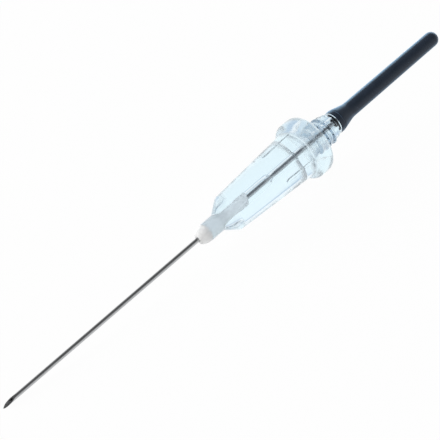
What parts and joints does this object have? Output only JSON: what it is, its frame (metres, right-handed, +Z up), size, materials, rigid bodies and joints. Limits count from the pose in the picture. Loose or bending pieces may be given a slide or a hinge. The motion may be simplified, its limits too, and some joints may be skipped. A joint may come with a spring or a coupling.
{
  "type": "double-ended needle",
  "caption": "Steel needle pointed at each end, glued in a clear ribbed hub with a collar and a screw thread, its back half in a closed black rubber sleeve.",
  "frame": {"origin": "Under the middle of the part as it lies, on the surface that it rests on", "axes": "+Z up. +X runs level along the needle, from the front point to the sleeve; the needle's own axis rises 3.91 degrees from it. +Y to the side"},
  "size_m": [0.0858, 0.0086, 0.0087],
  "materials": {
    "steel": "fine drawn stainless steel, satin",
    "clear_plastic": "clear moulded plastic with a faint cyan tint, gloss",
    "adhesive": "milky cured adhesive, smooth satin",
    "rubber": "blue-black natural rubber, dull sheen"
  },
  "bodies": {
    "root": {"cannula": "steel", "adhesive": "adhesive", "hub": "clear_plastic", "sleeve": "rubber"}
  },
  "joints": []
}
